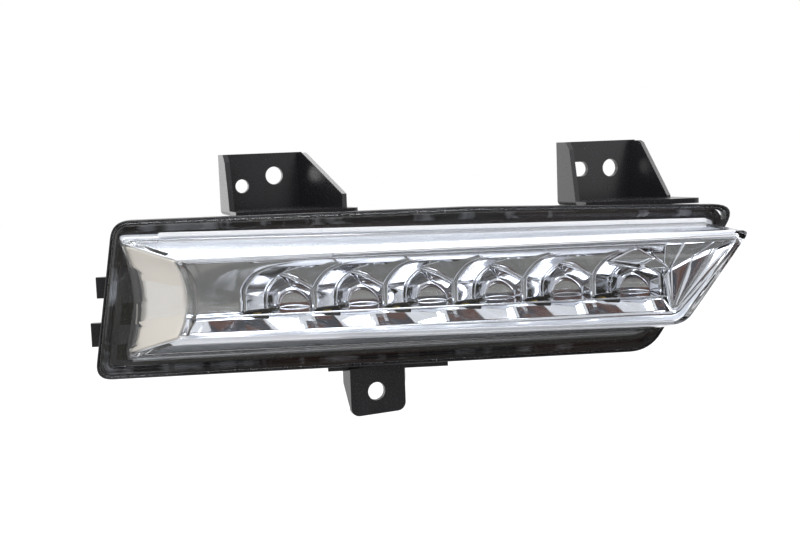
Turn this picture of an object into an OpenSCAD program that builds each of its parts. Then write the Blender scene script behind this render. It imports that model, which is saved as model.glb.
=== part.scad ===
// Daytime running light of a passenger car. A clear moulded lens with a raised, pointed box covers a
// six-cell metallised reflector and its LED board, in a black moulded housing with three screw brackets.
// X runs along the bumper, -Y is the way the light shines and Z is up. The origin is the centre of the
// large screw hole of the upper left bracket, on the bracket's rear face.
// Outlines are drawn in the lamp's own frame, which is swept back from the brackets.

/* [Lamp outline] */
// Angle between the lamp's face and the brackets' screw faces
sweep = 18; // [14:1:20]
// Distance from the first screw hole straight to the plane of the lens flange
stand_off = 38.8; // [37:0.2:42]
// Height of the lens flange
lamp_h = 72; // [70:1:78]
// Height of the first screw hole above the flange's top edge
screw_above = 16.6; // [15:0.2:20]
// Reach of the flange to the left of the first screw hole
left_reach = 83.3; // [80:0.5:92]
// Reach of the flange's pointed end to the right of the first screw hole
right_reach = 216; // [213:1:226]
// How far the upper left corner stands in from the lower left one
left_lean = 11.8; // [8:0.2:14]
// How far the lower right corner stands in from the point
point_lean = 43; // [38:1:46]
// How far the top edge falls towards the point
top_fall = 3.9; // [2:0.1:5]

/* [Raised lens box] */
// Height of the lens box over the flange
box_h = 22; // [20:1:26]
// Width of flange left above the lens box
margin_top = 8.2; // [7.6:0.2:10]
// Width of flange left below the lens box
margin_foot = 9.2; // [8.6:0.2:11]
// Width of flange left beyond the box's lower left corner
margin_left = 15.3; // [14.5:0.1:17]
// Width of flange left beyond the box at the slanted end
margin_point = 6.5; // [5:0.5:8]
// How far the concave end wall runs in from flange to front
end_run = 28.3; // [26:0.1:31]
// How far the end wall's middle stands in from its corners
end_bulge = 4.7; // [3:0.1:6]
// How far the box's upper wall leans in at the left
slope_top = 7.4; // [6:0.1:9]
// How far the box's lower wall leans in at the left
slope_foot = 10.3; // [8:0.1:12]
// How far the front face overhangs at the point
overhang = 10.7; // [8:0.1:13]

/* [Walls and gaps] */
// Thickness of the lens
lens_t = 2.5; // [2:0.1:3]
// Thickness of the lens flange
flange_t = 3; // [2.5:0.1:3.5]
// Wall of the housing
housing_t = 2.5; // [2:0.1:3]
// Wall of the reflector
mirror_t = 1.4; // [1.2:0.1:1.8]
// Gap between the lens and what lies inside it
lens_gap = 0.7; // [0.5:0.1:1]
// Gap between a part and the hole or pocket it sits in
fit_gap = 0.1; // [0.05:0.05:0.2]
// Depth of the glue groove in the housing's rim
groove_depth = 6; // [5:0.2:7]
// Width of the glue groove
groove_w = 3; // [2.6:0.2:3.4]
// Thickness of the lens tongue that stands in the groove
tongue_t = 2; // [1.6:0.1:2.2]
// Thickness of the glue bead under the tongue
bead_t = 1.3; // [1:0.1:1.6]
// Depth of the housing from the flange plane to its rear face
housing_depth = 44; // [43:1:50]

/* [Reflector] */
// Number of reflector cells, each with its own LED
cells = 6; // [4:1:6]
// Distance from the last cell's right side to the flange's point
cells_end = 39.8; // [39:0.2:43]
// Start of the first cell, left of the first screw hole
cells_start = 14.6; // [14:0.2:16]
// Depth of the reflector's front edge behind the flange plane, negative inside the lens box
mirror_front = -12; // [-13:0.5:-11]
// Height of the shelf's top above the flange's lower edge
shelf_up = 28.6; // [27.6:0.2:30]
// Thickness of the shelf
shelf_t = 2; // [1.6:0.1:2.4]
// How much of a scoop's round each neighbour cuts off
scoop_cut = 1.6; // [1.2:0.1:2]
// Distance from the top of a scoop up to the lens box's upper front edge
scoop_room = 4.8; // [4.4:0.2:7]

/* [LED board] */
// Distance from the board's right edge to the flange's point
board_end = 57; // [56:0.5:64]
// Width of the board
board_w = 37; // [36:0.5:37]
// Thickness of the board
board_t = 1.6; // [1:0.2:2]
// Thickness of the thermal pad under the board
pad_t = 0.5; // [0.3:0.1:1]
// Thickness of the heat sink's plate
sink_t = 2; // [1.5:0.1:2.5]
// Height of the heat sink's fins
fin_h = 8; // [5:0.5:8.5]
// Width of an LED package
led_w = 3.6; // [3:0.1:4]
// Height of an LED package
led_h = 0.8; // [0.6:0.1:1]
// Diameter of the screws that hold board and heat sink
board_screw_d = 2.9; // [2.5:0.1:3.2]
// Diameter of the screws that hold the reflector
mirror_screw_d = 3; // [2.5:0.1:3.5]

/* [Brackets] */
// Thickness of the brackets' walls
bracket_t = 2.4; // [2:0.1:3]
// Diameter of the three screw holes
screw_hole_d = 8.5; // [8:0.1:9]
// Diameter of the locating hole beside the first screw hole
locating_d = 6.5; // [5:0.1:7]
// Distance from the first screw hole to the locating hole
locating_x = 16; // [14:0.5:17]
// Height of the upper brackets over the first screw hole
bracket_top = 10.8; // [9:0.2:14]
// Distance along the bumper between the two upper screw holes
upper_span = 155; // [150:1:158]
// Height of the slot in the upper right bracket
slot_h = 7; // [5:0.1:7.5]
// Length of that slot
slot_len = 11; // [9:0.1:12]
// Distance from the first screw hole down to the lower one
lower_drop = 101; // [100:0.5:104]
// Distance from the first screw hole along to the lower one
lower_x = 31.8; // [29:0.2:34]

/* [Connector] */
// Width of the plug socket's opening
socket_w = 16; // [14:0.5:18]
// Height of the socket's opening
socket_h = 8; // [7:0.5:9]
// Depth of the socket
socket_depth = 13; // [11:0.5:16]
// Distance from one blade to the next
blade_pitch = 4.2; // [3.8:0.1:4.6]
// Width of a blade
blade_w = 2.2; // [1.8:0.1:2.6]
// Thickness of a blade
blade_t = 0.8; // [0.6:0.1:1]

/* [Hidden] */
led_names = [for (i = [1:cells]) str("led_", i)];
$fn = 48;

// How far a cutter runs past the face it opens, and how far joined walls run into each other
past = 1;
bite = 0.4;
// Straight pieces in each rounded corner
corner_steps = 5;
// Thickness of the slices that a drafted wall is stretched between
slice = 0.02;

// Flange outline, anticlockwise from the lower left corner, in X and Z of the lamp's frame
flange_top = -screw_above;
flange_foot = -screw_above - lamp_h;
top_bend = 90;
flange = [
    [-left_reach, flange_foot],
    [right_reach - point_lean, flange_foot + 1],
    [right_reach, flange_top - top_fall],
    [top_bend, flange_top],
    [left_lean - left_reach, flange_top]
];
flange_r = [7, 8, 9, 2500, 6];

// Lens box: its outline on the flange and at its front face
point_slope = point_lean / (lamp_h - 1 - top_fall);
box_left = margin_left - left_reach - 1;
box_foot = flange_foot + margin_foot;
box_top = flange_top - margin_top;
point_x = right_reach - margin_point * sqrt(1 + point_slope * point_slope);
box_base = [
    [box_left, box_foot],
    [point_x - point_slope * (flange_top - top_fall - box_foot), box_foot + 1],
    [point_x - point_slope * margin_top, box_top - top_fall + 0.2],
    [box_left, box_top]
];
box_front = box_base + [
    [end_run, slope_foot],
    [overhang + 2, slope_foot - 4],
    [overhang, 4.9 - slope_top],
    [end_run, -slope_top]
];
box_r = [2, 5, 4, 2];

// Raised strip along the upper edge of the box, and where its pips stand as shares of its length
strip_from = [box_left + 18, box_top + 2.2];
strip_to = [point_x - 3 - point_slope * margin_top, box_top - top_fall + 2.4];
strip_w = 3.2;
strip_h = 1.2;
pips = [0.29, 0.57, 0.85];
pip_d = 1.6;
pip_h = 0.35;
middle_z = (box_foot + box_top) / 2;

// Depths along the lamp's own axis, measured back from the front of the flange
rim_front = flange_t + 0.3;
groove_floor = rim_front + groove_depth;
rim_back = groove_floor + housing_t - 0.5;
groove_in = 2.5;
rim_in = 8;
tub_in = 5;
tub_draft = 4;
tongue_in = groove_in + (groove_w - tongue_t) / 2;
inner_back = housing_depth - housing_t;

// Lugs and hooks at the left end: the height of each one's middle and half its own height
inner_lugs = [[middle_z + 6.1, 8], [middle_z - 16.4, 4.5]];
lug_back = 1.6;
lug_reach = 7.5;
outer_hooks = [[middle_z + 5.1, 4.8], [middle_z - 16.4, 5.4]];
hook_out = 4.4;
hook_t = 3;
bezel_front = 5 - box_h;
rib_pitch = 34;
rib_from_left = 33.3;
rib_from_point = 56;
spine_from_left = 21.3;
spine_from_point = 48;
rib_t = 1.8;
rib_h = 2.2;

// Reflector
mirror_in = lens_t + lens_gap;
mirror_back = 3;
sheet_y = mirror_front + 4.5;
shelf_z = flange_foot + shelf_up;
scoop_h = box_top - slope_top - scoop_room - shelf_z;
cell_pitch = (right_reach - cells_end + cells_start) / cells;
scoop_r = cell_pitch / 2 + scoop_cut;
shelf_back = 14;
under_shelf = shelf_z - shelf_t;
facet_depth = 5;
facet_start = 2.4;
boss_d = 6.5;
boss_h = 8;

// Electronics
board_left = -cells_start - 1.4;
board_len = right_reach - board_end - board_left;
board_front = -4;
board_top = under_shelf;
pad_top = board_top - board_t;
sink_top = pad_top - pad_t;
screw_y = 10.5;
screw_x = [for (i = [1, 3, 5]) if (i < cells) i * cell_pitch - cells_start];
// Window in the shelf over each LED, measured from its cell's left side
window_len = 11.5;
window_front = -3.3;
window_back = 4.6;
led_offset = window_len / 2;
led_y = (window_front + window_back) / 2;
parts_y = 24;
coil_x = 42;
capacitor_x = 60;
capacitor_pitch = 14;
chip_x = 98;
diode_x = 112;
fin_pitch = 5;
fin_t = 1.4;
screw_head_h = 2.2;
screw_head_d = 5.5;
board_screw_len = 11;

// Screws through the housing's pillars into the reflector
pillar_from_left = 56.3;
pillar_from_point = 36;
pillar_up = [4.1, 7.1];
pillars = [[pillar_from_left - left_reach, middle_z + pillar_up[0]],
           [right_reach - pillar_from_point, middle_z + pillar_up[1]]];
pillar_d = 11;
pillar_front = 6;
pillar_floor = 3;
counterbore_d = 7;
mirror_boss_d = 7.5;
mirror_screw_len = 11;

// Brackets
upper_back = -tan(sweep) * upper_span - 1.6;
right_z = -2.4;
shelf_rise = 1.4;
shelf_level_from_point = 66;
shelf_end_from_point = 16;
left_shelf_end = 41;
plate_right = 14.2;
wall_depth = 17;
bend_r = 2.2;
flange_splay = 11.5;
lower_y = -46;

// Connector and vent
socket_x = 8;
socket_floor = 3;
socket_wall = 2;
socket_root = 7;
blade_reach = 6;
blade_tail = 18;
vent_from_point = 113;
vent = [right_reach - vent_from_point, middle_z + 0.22 * (box_top - box_foot)];
vent_d = 14;
vent_h = 3;
membrane_d = 9.2;
membrane_t = 0.3;

function unit(v) = v / norm(v);
function neighbour(p, i, step) = p[(i + step + len(p)) % len(p)];
// Unit normal that points into an anticlockwise outline from its edge a to b
function inward(a, b) = let (d = unit(b - a)) [-d[1], d[0]];
// Shift that moves a corner inwards by one unit from both of its edges
function corner_shift(p, i) =
    let (before = inward(neighbour(p, i, -1), p[i]), after = inward(p[i], neighbour(p, i, 1)))
    (before + after) / (1 + before * after);
// Outline p with each edge moved in by d
function inset(p, d) = [for (i = [0:len(p) - 1]) p[i] + d * corner_shift(p, i)];
// Outline p with corner i rounded to radius r[i]
function rounded(p, r) = [
    for (i = [0:len(p) - 1])
        let (before = inward(neighbour(p, i, -1), p[i]),
             after = inward(p[i], neighbour(p, i, 1)),
             centre = p[i] + r[i] * corner_shift(p, i),
             from = atan2(-before[1], -before[0]),
             turn = acos(min(1, before * after)))
        for (j = [0:corner_steps])
            centre + r[i] * [cos(from + turn * j / corner_steps), sin(from + turn * j / corner_steps)]
];
function smaller(r, d) = [for (each_r = r) max(each_r - d, 0.5)];
function flange_outline(d) = rounded(inset(flange, d), smaller(flange_r, d));
function box_at(y) = box_base + (box_front - box_base) * (-y / box_h);
function box_outline(y, d) = rounded(inset(box_at(y), d), smaller(box_r, d));
// Left edge of the flange at a height z
function left_edge(z) = -left_reach + left_lean * (z - flange_foot) / lamp_h;
// Top edge of the flange at a distance x along the lamp
function edge_at(x) = flange_top - top_fall * max(0, x - top_bend) / (right_reach - top_bend);

// Puts what is drawn in the lamp's frame into its place behind the brackets
module lamp_frame() {
    rotate([0, 0, -sweep]) translate([0, -stand_off, 0]) children();
}

// Flat piece of the given outline between two depths of the lamp's frame
module slab(outline, from, to) {
    translate([0, to, 0]) rotate([90, 0, 0]) linear_extrude(to - from) polygon(outline);
}

// Ring of the flange's shape between two insets
module ring(outer, inner, from, to) {
    difference() {
        slab(flange_outline(outer), from, to);
        slab(flange_outline(inner), from - past, to + past);
    }
}

// Drafted body between the flange's outline at two insets
module drafted(near_in, from, far_in, to) {
    hull() {
        slab(flange_outline(near_in), from, from + slice);
        slab(flange_outline(far_in), to - slice, to);
    }
}

// Body that follows the lens box, moved in by d
module box_body(d, from, to) {
    hull() {
        slab(box_outline(from, d), from, from + slice);
        slab(box_outline(to, d), to - slice, to);
    }
}

// Wide cone whose side is the concave end wall, moved in by d from the lens's outer face. Its side runs
// from the flange to the front face, and its curve is tighter at the front, where the wall is lower.
module end_scoop(d) {
    run = [end_run, -box_h];
    along_wall = unit(run);
    into_lamp = unit([box_h, end_run]);
    hollow = 2 * end_bulge * into_lamp[0];
    base_r = pow((box_top - box_foot) / 2, 2) / hollow;
    front_r = pow((box_front[3][1] - box_front[0][1]) / 2, 2) / hollow;
    spread = atan((base_r - front_r) / norm(run));
    axis = -along_wall * cos(spread) - into_lamp * sin(spread);
    reach = 60;
    apex = [box_left + 1 + end_bulge, 0] + run + along_wall * front_r / tan(spread) - axis * d / sin(spread);
    translate([apex[0], apex[1], middle_z])
        rotate([0, 0, atan2(axis[1], axis[0])])
            rotate([0, 90, 0])
                cylinder(h = reach, r1 = 0, r2 = reach * tan(spread), $fn = 96);
}

// Round bar along the lamp's depth axis
module along(x, z, d, from, to) {
    translate([x, to, z]) rotate([90, 0, 0]) cylinder(h = to - from, d = d);
}

// Block given by its two opposite corners
module block(low, high) {
    translate(low) cube(high - low);
}

// Round cutter for the left lower corner of a bracket whose corner is at x and z
module corner_round(x, z, from, to) {
    difference() {
        block([x - past, from, z - past], [x + bend_r, to, z + bend_r]);
        translate([x + bend_r, to + past, z + bend_r]) rotate([90, 0, 0])
            cylinder(h = to - from + 2 * past, r = bend_r);
    }
}

// Box of three walls and a shelf that one upper screw face stands on
module upper_bracket(left, fold, back, foot, free_depth, free_foot, shelf_left, shelf_right) {
    face = back - bracket_t;
    root = foot - bite;
    // The splayed wall starts inside the screw plate, so that nothing stands behind the plate
    start = bracket_t * tan(flange_splay) + bite;
    splayed_top = bracket_top - bite;
    difference() {
        union() {
            block([left, face, foot - bracket_t], [fold, back, bracket_top]);
            // Left wall, deeper at its foot, with a slanted corner at the top
            translate([left, 0, 0]) rotate([90, 0, 90]) linear_extrude(bracket_t)
                polygon([[back, root], [back - wall_depth, root], [back - 15, foot + 10],
                         [back - 12, bracket_top - 3.5], [back - 9, bracket_top], [back, bracket_top]]);
            // Shelf from the screw face forward to the flange
            translate([0, 0, foot - bracket_t]) linear_extrude(bracket_t)
                polygon(rounded([[left, back], shelf_left, shelf_right, [fold + 6, back - 12],
                                 [fold + 2, back]], [0.5, 0.5, 2.5, 4, 1]));
        }
        corner_round(left, foot - bracket_t, back - wall_depth - bite, back + past);
    }
    // Right wall, splayed, with a slanted free edge
    translate([fold - bracket_t - 0.3, back, 0]) rotate([90, 0, 90 + flange_splay]) mirror([1, 0, 0])
        linear_extrude(bracket_t)
            polygon([[start, root], [free_depth, root], [free_depth, free_foot],
                     [9, splayed_top - 1], [7, splayed_top], [start, splayed_top]]);
    // Ribs from the shelf down to the tub
    for (x = [left + 5, (left + fold) / 2, fold - 3])
        block([x, back - 24, foot - 12], [x + bracket_t - 0.4, back - 1, foot - bite]);
}

// A point of the lamp's frame in the brackets' frame
function placed(x, y) = [
    x * cos(sweep) + (y - stand_off) * sin(sweep), (y - stand_off) * cos(sweep) - x * sin(sweep)
];
// Where the rim's front plane runs at a distance x from the first screw hole
function rim_y(x) = (rim_front - stand_off - x * sin(sweep)) / cos(sweep);

module left_bracket() {
    foot = flange_top + shelf_rise;
    left = -26.4;
    upper_bracket(left, plate_right, 0, foot, 43, foot + 6.5, [left, rim_y(left)], placed(left_shelf_end, rim_front));
}

module right_bracket() {
    foot = edge_at(right_reach - shelf_level_from_point) + shelf_rise;
    left = upper_span - 28.4;
    upper_bracket(left, upper_span + plate_right, upper_back, foot, 26, foot + 1,
                  [left, rim_y(left)], placed(right_reach - shelf_end_from_point, rim_front));
}

module lower_bracket() {
    left = lower_x - 12.8;
    right = lower_x + 14.4;
    top = flange_foot - 1.8;
    foot = -lower_drop - 11;
    translate([0, lower_y + bracket_t, 0]) rotate([90, 0, 0]) linear_extrude(bracket_t)
        polygon(rounded([[left, foot], [right, foot + 0.6], [right, top + 1], [left, top + 1]],
                        [4, 4, 0.5, 0.5]));
    // Side walls, the right one splayed; each starts just inside the plate's front face
    for (side = [[left, 0], [right - bracket_t, 30]]) {
        start = bracket_t * (sin(side[1]) - 1) / cos(side[1]) + bite;
        translate([side[0], lower_y + bracket_t, 0]) rotate([90, 0, 90 - side[1]]) linear_extrude(bracket_t)
            polygon([[start, foot + 5], [0.6, foot + 5], [7.6, top - 7], [7.6, top + 1], [start, top + 1]]);
    }
    // Strip under the flange that the walls hang from
    lamp_frame() block([lower_x - 9.5, rim_front, top], [lower_x + 46.2, rim_back + 9, flange_foot + 1.4]);
}

// Screw holes through the three brackets, and the slot and locating hole for pins
module bracket_holes() {
    reach = 4 * bracket_t;
    translate([0, past, 0]) rotate([90, 0, 0]) cylinder(h = reach, d = screw_hole_d);
    translate([-locating_x, past, -4.4]) rotate([90, 0, 0]) cylinder(h = reach, d = locating_d);
    translate([upper_span, upper_back + past, right_z]) rotate([90, 0, 0])
        cylinder(h = reach, d = screw_hole_d);
    translate([lower_x, lower_y + bracket_t + past, -lower_drop]) rotate([90, 0, 0])
        cylinder(h = bracket_t + 2 * past, d = screw_hole_d);
    translate([upper_span - 18, upper_back + past, right_z]) rotate([90, 0, 0]) linear_extrude(reach) {
        square([slot_len - slot_h, slot_h], center = true);
        for (side = [-1, 1]) translate([side * (slot_len - slot_h) / 2, 0]) circle(d = slot_h);
    }
}

// Puts the socket's own frame, square to the brackets, on the tub's rear face
module socket_frame() {
    translate([socket_x, housing_depth, board_top + blade_t / 2]) rotate([0, 0, sweep]) children();
}

module socket_shell() {
    socket_frame() difference() {
        union() {
            block([-socket_w / 2 - socket_wall, -socket_root, -socket_h / 2 - socket_wall],
                  [socket_w / 2 + socket_wall, socket_floor + socket_depth, socket_h / 2 + socket_wall]);
            // Latch ramp for the plug
            translate([-2.5, socket_floor + socket_depth - 7, socket_h / 2 + socket_wall - bite])
                rotate([90, 0, 90]) linear_extrude(5) polygon([[0, 0], [5, 0], [3.8, 1.9], [2.6, 1.9]]);
        }
        block([-socket_w / 2, socket_floor, -socket_h / 2],
              [socket_w / 2, socket_floor + socket_depth + past, socket_h / 2]);
        for (i = [-1:1])
            block([i * blade_pitch - blade_w / 2 - fit_gap, -socket_root - past, -blade_t / 2 - fit_gap],
                  [i * blade_pitch + blade_w / 2 + fit_gap, socket_floor + past, blade_t / 2 + fit_gap]);
    }
}

// Lug inside the left end of the rim, over the foot of the end bezel
module inner_lug(lug, grown) {
    block([left_edge(lug[0]) + rim_in - 2 * bite, rim_front + 0.2 - grown, lug[0] - lug[1] - grown],
          [box_left + lug_reach + grown, rim_front + lug_back + grown, lug[0] + lug[1] + grown]);
}

module tub() {
    difference() {
        union() {
            ring(0.8, rim_in, rim_front, rim_back);
            drafted(tub_in, rim_front + 1, tub_in + tub_draft, housing_depth);
            // Stiffening ribs across the rear face
            for (x = [rib_from_left - left_reach:rib_pitch:right_reach - rib_from_point])
                block([x, housing_depth - past, flange_foot + 14],
                      [x + rib_t, housing_depth + rib_h, flange_top - 14]);
            block([spine_from_left - left_reach, housing_depth - past, middle_z - rib_t / 2],
                  [right_reach - spine_from_point, housing_depth + rib_h, middle_z + rib_t / 2]);
            along(vent[0], vent[1], vent_d, housing_depth - past, housing_depth + vent_h);
            // Lugs that hook into the bumper at the left end
            for (hook = outer_hooks)
                block([left_edge(hook[0]) - hook_out, rim_front + 1.2, hook[0] - hook[1]],
                      [left_edge(hook[0]) + 3, rim_front + 1.2 + hook_t, hook[0] + hook[1]]);
        }
        drafted(rim_in, rim_front - past, rim_in + tub_draft - 0.5, inner_back);
        ring(groove_in, groove_in + groove_w, rim_front - past, groove_floor);
        along(vent[0], vent[1], 3, inner_back - past, housing_depth + vent_h + past);
        along(vent[0], vent[1], membrane_d + 2 * fit_gap, housing_depth + vent_h - 0.4,
              housing_depth + vent_h + past);
        socket_frame()
            block([-socket_w / 2 - 1, -socket_root + past, -socket_h / 2 - 1],
                  [socket_w / 2 + 1, socket_floor + socket_depth, socket_h / 2 + 1]);
    }
    for (lug = inner_lugs) inner_lug(lug, 0);
    for (p = pillars) along(p[0], p[1], pillar_d, pillar_front, inner_back + bite);
}

// Holes for the reflector's screws, sunk from the rear face
module pillar_holes() {
    for (p = pillars) {
        along(p[0], p[1], counterbore_d, pillar_front + pillar_floor, housing_depth + 3 * past);
        along(p[0], p[1], mirror_screw_d + 4 * fit_gap, pillar_front - past, housing_depth);
    }
}

module housing() {
    color("#17181a") difference() {
        union() {
            difference() {
                union() {
                    left_bracket();
                    right_bracket();
                    lower_bracket();
                }
                lamp_frame() drafted(tub_in + 1, rim_front - past, tub_in + tub_draft + 1, housing_depth);
                lamp_frame() ring(groove_in, groove_in + groove_w, rim_front - past, groove_floor);
            }
            lamp_frame() tub();
            lamp_frame() socket_shell();
        }
        lamp_frame() pillar_holes();
        bracket_holes();
    }
}

module lens() {
    color("#e6ebf0", 0.35) lamp_frame() difference() {
        union() {
            slab(flange_outline(0), 0, flange_t);
            ring(tongue_in, tongue_in + tongue_t, flange_t - bite, groove_floor - bead_t);
            difference() {
                box_body(0, -box_h, bite);
                end_scoop(0);
            }
            slab([strip_from - [0, strip_w], strip_to - [0, strip_w], strip_to, strip_from], -strip_h, bite);
            for (share = pips) {
                p = strip_from + (strip_to - strip_from) * share - [0, pip_d];
                along(p[0], p[1], pip_d, -strip_h - pip_h, bite);
            }
        }
        difference() {
            box_body(lens_t, -box_h + lens_t, flange_t + past);
            end_scoop(lens_t);
        }
    }
}

module lens_seal() {
    color("#3a3c3f") lamp_frame() ring(groove_in, groove_in + groove_w, groove_floor - bead_t, groove_floor);
}

// Concave metallised cover of the sloping end, held under the housing's inner lugs
module end_bezel() {
    foot_y = rim_front + lug_back + 0.4;
    foot_back = foot_y + mirror_t;
    color("#d9d2c8") lamp_frame() difference() {
        union() {
            difference() {
                intersection() {
                    box_body(mirror_in, bezel_front, foot_back);
                    end_scoop(mirror_in + mirror_t);
                }
                end_scoop(mirror_in);
            }
            // Flat foot behind the lugs
            intersection() {
                slab(flange_outline(rim_in), foot_y, foot_back);
                end_scoop(mirror_in + 2 * mirror_t);
                block([-left_reach, foot_y - past, box_foot + 4], [0, foot_back + past, box_top - 4]);
            }
        }
        // Clear of the rim all round, and notched round the lugs
        ring(-past - rim_in, rim_in + 0.8, rim_front - 0.3, foot_back + past);
        for (lug = inner_lugs) inner_lug(lug, 0.25);
    }
}

// Dome that a scoop is pressed to, by revolving a quarter ellipse; grown is its added wall
module dome(grown) {
    steps = 7;
    rotate_extrude() polygon(concat([[0, 0]], [
        for (i = [0:steps])
            [(scoop_r + grown) * cos(90 * i / steps), (scoop_h + grown) * sin(90 * i / steps)]
    ]));
}

function cell_left(i) = i * cell_pitch - cells_start;

// Space of a scoop, or with its wall when grown
module scoop(i, grown) {
    half = cell_pitch / 2 - mirror_t / 2 + grown;
    intersection() {
        translate([cell_left(i) + cell_pitch / 2, sheet_y, shelf_z]) dome(grown);
        block([cell_left(i) + cell_pitch / 2 - half, sheet_y - past, shelf_z - grown],
              [cell_left(i) + cell_pitch / 2 + half, sheet_y + 30, shelf_z + 40]);
    }
}

// Zigzag of flat facets below the shelf, one set for each cell
module facets() {
    edge_y = mirror_front + 1.5;
    front = concat(
        [[-left_reach, sheet_y]],
        [for (i = [0:cells - 1]) let (x = cell_left(i) + facet_start) each [
            [x, edge_y],
            [x + cell_pitch * 0.35, edge_y + facet_depth],
            [x + cell_pitch * 0.72, edge_y + facet_depth]
        ]],
        [[cell_left(cells) + facet_start, edge_y], [right_reach, sheet_y]]
    );
    back = [for (i = [len(front) - 1:-1:0]) front[i] + [0, mirror_t]];
    translate([0, 0, box_foot]) linear_extrude(under_shelf - box_foot + bite) polygon(concat(front, back));
}

module reflector() {
    color("#c9ccd1") lamp_frame() difference() {
        union() {
            intersection() {
                difference() {
                    box_body(mirror_in, mirror_front, mirror_back);
                    end_scoop(mirror_in + mirror_t + 0.5);
                }
                union() {
                    // Frame round all four sides
                    difference() {
                        translate([-left_reach, mirror_front - past, flange_foot])
                            cube([left_reach + right_reach + 20, mirror_back - mirror_front + 2 * past,
                                  lamp_h]);
                        difference() {
                            box_body(mirror_in + mirror_t, mirror_front - past, mirror_back + past);
                            end_scoop(mirror_in + 2 * mirror_t + 0.5);
                        }
                    }
                    // Sheet that the scoops open through
                    block([-left_reach, sheet_y, shelf_z - bite], [right_reach, sheet_y + mirror_t, 0]);
                    facets();
                    block([-left_reach, mirror_front, under_shelf], [right_reach, mirror_back, shelf_z]);
                }
            }
            for (i = [0:cells - 1]) scoop(i, mirror_t / 2);
            block([cell_left(0), mirror_back - past, under_shelf], [cell_left(cells), shelf_back, shelf_z]);
            for (x = screw_x) translate([x, screw_y, shelf_z - bite]) cylinder(h = boss_h + bite, d = boss_d);
            for (p = pillars) along(p[0], p[1], mirror_boss_d, sheet_y + bite, pillar_front);
        }
        for (i = [0:cells - 1]) {
            scoop(i, 0);
            block([cell_left(i), window_front, under_shelf - past],
                  [cell_left(i) + window_len, window_back, shelf_z + past]);
        }
        for (x = screw_x) translate([x, screw_y, under_shelf - past])
            cylinder(h = boss_h + shelf_t, d = board_screw_d + 2 * fit_gap);
        for (p = pillars)
            along(p[0], p[1], mirror_screw_d + 2 * fit_gap, sheet_y + mirror_t + 1, pillar_front + past);
    }
}

// Plate of the board's outline with the screws' clearance holes
module board_plate(trim, low, high) {
    translate([0, 0, low]) linear_extrude(high - low) difference() {
        translate([board_left + trim, board_front + trim]) square([board_len - 2 * trim, board_w - 2 * trim]);
        for (x = screw_x) translate([x, screw_y]) circle(d = board_screw_d + 4 * fit_gap);
    }
}

module led_board() {
    color("#f1f2ee") lamp_frame() board_plate(0, pad_top, board_top);
}

module led(i) {
    color("#f4e08a") lamp_frame() translate([cell_left(i) + led_offset, led_y, board_top]) {
        translate([-led_w / 2, -led_w / 2, 0]) cube([led_w, led_w, led_h]);
        cylinder(h = led_h + 0.25, d = led_w * 0.8);
    }
}

module thermal_pad() {
    color("#8fa9b8") lamp_frame() board_plate(1, sink_top, pad_top);
}

module heat_sink() {
    color("#b9bcc0") lamp_frame() difference() {
        union() {
            board_plate(0, sink_top - sink_t, sink_top);
            for (i = [1:7])
                block([board_left, i * fin_pitch - 4, sink_top - sink_t - fin_h],
                      [board_left + board_len, i * fin_pitch - 4 + fin_t, sink_top - bite]);
        }
        for (x = screw_x) translate([x, screw_y, sink_top - sink_t - fin_h - past]) {
            cylinder(h = fin_h + past, d = screw_head_d + 2.5);
            cylinder(h = fin_h + sink_t + 2 * past, d = board_screw_d + 4 * fit_gap);
        }
    }
}

// Pan-head screw standing on its head, with a cross recess
module screw(d, len, head_d, head_h) {
    difference() {
        union() {
            cylinder(h = head_h, d = head_d);
            cylinder(h = head_h + len - d * 0.6, d = d);
            translate([0, 0, head_h + len - d * 0.6 - 0.01]) cylinder(h = d * 0.6, d1 = d, d2 = d * 0.4);
        }
        for (turn = [0, 90])
            rotate([0, 0, turn]) translate([-head_d * 0.3, -0.4, -past])
                cube([head_d * 0.6, 0.8, past + 1.2]);
    }
}

module board_screws() {
    color("#a9adb3") lamp_frame() for (x = screw_x)
        translate([x, screw_y, sink_top - sink_t - screw_head_h])
            screw(board_screw_d, board_screw_len, screw_head_d, screw_head_h);
}

module reflector_screws() {
    color("#a9adb3") lamp_frame() for (p = pillars)
        translate([p[0], pillar_front + pillar_floor + screw_head_h, p[1]]) rotate([90, 0, 0])
            screw(mirror_screw_d, mirror_screw_len, counterbore_d - 1, screw_head_h);
}

// Chip in a flat moulded body with four bent legs on each long side
module driver_chip() {
    body = [5, 4, 1.5];
    color("#202225") lamp_frame() translate([chip_x, parts_y, board_top]) {
        translate([-body[0] / 2, -body[1] / 2, 0.1]) cube(body);
        for (side = [-1, 1], i = [-1.5:1:1.5])
            translate([i * 1.27 - 0.2, side > 0 ? body[1] / 2 - 0.3 : -body[1] / 2 + 0.3, 0])
                mirror([0, side > 0 ? 0 : 1, 0]) rotate([90, 0, 90]) linear_extrude(0.4)
                    polygon([[0, 0.7], [0.6, 0.7], [0.8, 0], [1.4, 0],
                             [1.4, 0.25], [1, 0.25], [0.8, 0.95], [0, 0.95]]);
    }
}

// Coil wound on a drum core with a square foot
module coil() {
    color("#4a4440") lamp_frame() translate([coil_x, parts_y, board_top]) {
        translate([-6, -6, 0]) cube([12, 12, 1]);
        translate([0, 0, 0.8]) rotate_extrude() polygon([
            [0, 0], [5.8, 0], [5.8, 0.9], [5.1, 1.2], [5.1, 4], [5.8, 4.3], [5.8, 5.2], [0, 5.2]
        ]);
    }
}

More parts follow.
